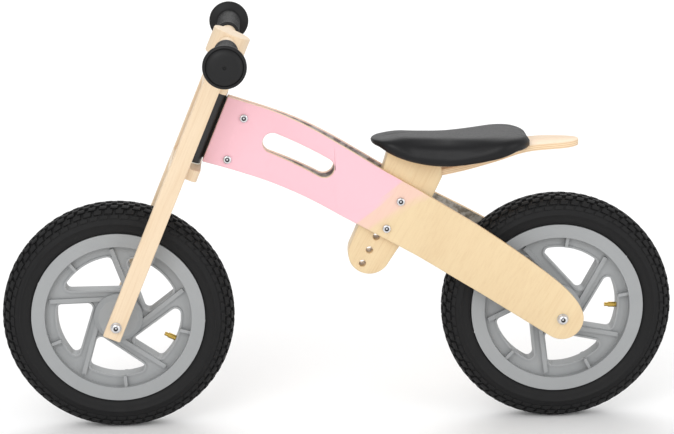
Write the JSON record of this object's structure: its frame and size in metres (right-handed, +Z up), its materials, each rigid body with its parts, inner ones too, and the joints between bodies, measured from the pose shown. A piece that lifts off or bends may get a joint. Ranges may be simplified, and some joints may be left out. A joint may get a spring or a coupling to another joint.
{
  "type": "balance bike",
  "caption": "Wooden balance bike: bent plywood frame with carry slot, turning wooden fork, spoked plastic wheels with knobbly tyres and a padded seat.",
  "frame": {"origin": "on the ground midway between the two tyres' contact points, in the bike's middle plane", "axes": "+X to the rear of the bike, +Y to the rider's right, +Z up"},
  "size_m": [0.862, 0.385, 0.5255],
  "materials": {
    "painted_plywood": "satin paint over birch veneer",
    "birch_plywood": "clear satin lacquer",
    "beech": "clear satin lacquer",
    "black_steel": "satin black powder coat",
    "nylon": "satin",
    "zinc_steel": "zinc plated",
    "aluminium": "turned",
    "grey_nylon": "fine moulded texture",
    "tyre_rubber": "matt",
    "tube_rubber": "matt",
    "brass": "machined",
    "bearing_steel": "ground",
    "grip_rubber": "matt",
    "seat_leather": "satin synthetic leather"
  },
  "bodies": {
    "frame": {"left_frame_panel": "painted_plywood", "right_frame_panel": "painted_plywood", "head_bracket": "black_steel", "upper_head_bushing": "nylon", "lower_head_bushing": "nylon", "head_bolts": "zinc_steel", "head_nuts": "zinc_steel", "seat_bolts": "zinc_steel", "seat_nuts": "zinc_steel", "seat_post": "birch_plywood", "seat_board": "birch_plywood", "seat_base": "birch_plywood", "seat_screws": "zinc_steel", "seat_cushion": "seat_leather", "rear_axle_bolt": "zinc_steel", "rear_axle_nut": "zinc_steel", "rear_axle_washers": "zinc_steel", "rear_axle_spacers": "nylon", "rear_axle_sleeve": "aluminium"},
    "fork": {"left_fork_leg": "beech", "right_fork_leg": "beech", "lower_crown": "beech", "upper_crown": "beech", "crown_dowels": "beech", "steering_pin": "zinc_steel", "steering_nut": "zinc_steel", "stem_block": "beech", "stem_fasteners": "zinc_steel", "handlebar": "beech", "left_grip": "grip_rubber", "right_grip": "grip_rubber", "front_axle_bolt": "zinc_steel", "front_axle_nut": "zinc_steel", "front_axle_washers": "zinc_steel", "front_axle_spacers": "nylon", "front_axle_sleeve": "aluminium"},
    "front_wheel": {"front_rim": "grey_nylon", "front_tyre": "tyre_rubber", "front_inner_tube": "tube_rubber", "front_valve": "brass", "front_hub_bearings": "bearing_steel"},
    "rear_wheel": {"rear_rim": "grey_nylon", "rear_tyre": "tyre_rubber", "rear_inner_tube": "tube_rubber", "rear_valve": "brass", "rear_hub_bearings": "bearing_steel"}
  },
  "joints": [
    {"name": "steering", "type": "hinge", "parent": "frame", "child": "fork", "pos_m": [-0.16539, 0, 0.39612], "axis": [0.3875, 0, 0.9219], "range_deg": [-65, 65]},
    {"name": "front_wheel_spin", "type": "hinge", "parent": "fork", "child": "front_wheel", "pos_m": [-0.2825, 0, 0.1485], "axis": [0, 1, 0], "continuous": true},
    {"name": "rear_wheel_spin", "type": "hinge", "parent": "frame", "child": "rear_wheel", "pos_m": [0.2825, 0, 0.1485], "axis": [0, 1, 0], "continuous": true}
  ]
}
